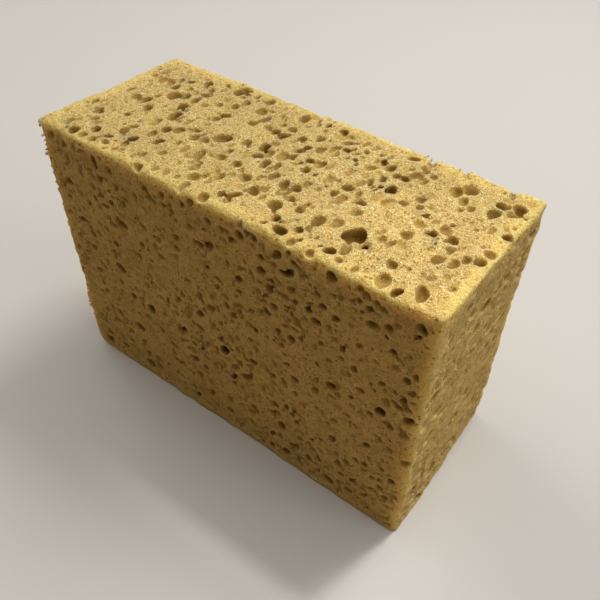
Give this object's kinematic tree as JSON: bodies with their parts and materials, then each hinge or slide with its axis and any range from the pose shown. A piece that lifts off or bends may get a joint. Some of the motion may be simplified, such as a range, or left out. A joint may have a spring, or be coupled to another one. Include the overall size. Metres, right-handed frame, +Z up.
{
  "type": "cleaning sponge",
  "caption": "Large household cleaning sponge: one sawn block of coarse-pored yellow cellulose foam, for washing and wiping by hand.",
  "frame": {"origin": "under the middle of the block, on the surface that it stands on", "axes": "+X along the length from left to right, +Y from the front face to the back face, +Z up"},
  "size_m": [0.17, 0.072, 0.12],
  "materials": {
    "cellulose_foam": "dry open-pored cellulose foam, matte, golden yellow and darker inside the pores"
  },
  "bodies": {
    "root": {"sponge_block": "cellulose_foam"}
  },
  "joints": []
}
